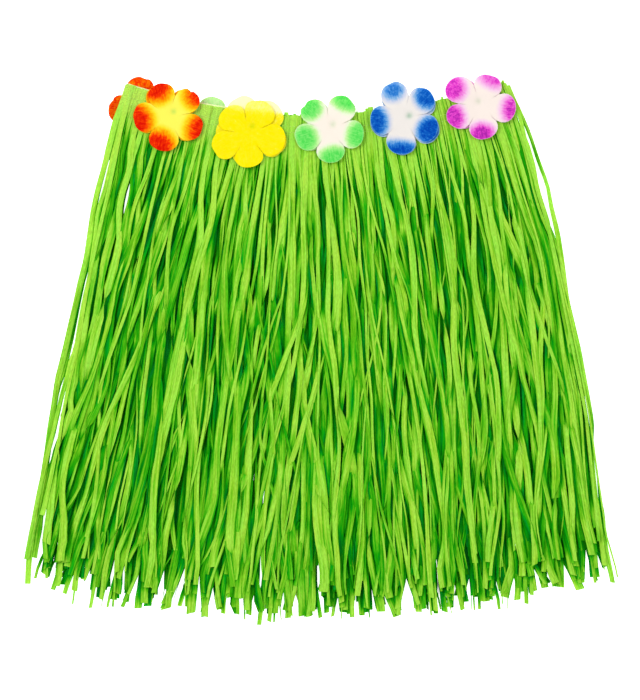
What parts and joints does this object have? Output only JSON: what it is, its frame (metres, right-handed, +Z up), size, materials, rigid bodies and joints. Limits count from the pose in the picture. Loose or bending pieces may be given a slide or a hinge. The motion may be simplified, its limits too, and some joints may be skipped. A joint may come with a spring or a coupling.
{
  "type": "grass skirt",
  "caption": "Hula skirt of green crinkled paper raffia strands on a waistband trimmed with coloured fabric flowers, lying flat with its front half on its back half.",
  "frame": {"origin": "bottom centre of the bounding box of the skirt as it lies flat, on the surface under it", "axes": "+X along the waistband towards the wearer's left fold as seen from the front, +Y from the hem to the waist, +Z up off the surface"},
  "size_m": [0.5371, 0.4984, 0.0139],
  "materials": {
    "raffia": "crinkled crepe paper raffia, soft satin",
    "tape": "pressed paper raffia heading on a cream tape, matt",
    "petal_orange": "thin heat-pressed polyester, matt",
    "petal_yellow": "thin heat-pressed polyester, matt",
    "petal_green": "thin heat-pressed polyester, matt",
    "petal_blue": "thin heat-pressed polyester, matt",
    "petal_purple": "thin heat-pressed polyester, matt"
  },
  "bodies": {
    "root": {"fringe_back_outer": "raffia", "fringe_back_inner": "raffia", "fringe_front_inner": "raffia", "fringe_front_outer": "raffia", "waist_tape": "tape", "flower_orange_top": "petal_orange", "flower_orange_under": "petal_orange", "flower_yellow_top": "petal_yellow", "flower_yellow_under": "petal_yellow", "flower_green_top": "petal_green", "flower_green_under": "petal_green", "flower_blue_top": "petal_blue", "flower_blue_under": "petal_blue", "flower_purple_top": "petal_purple", "flower_purple_under": "petal_purple", "flower_back_orange_top": "petal_orange", "flower_back_orange_under": "petal_orange", "flower_back_green_top": "petal_green", "flower_back_green_under": "petal_green"}
  },
  "joints": []
}
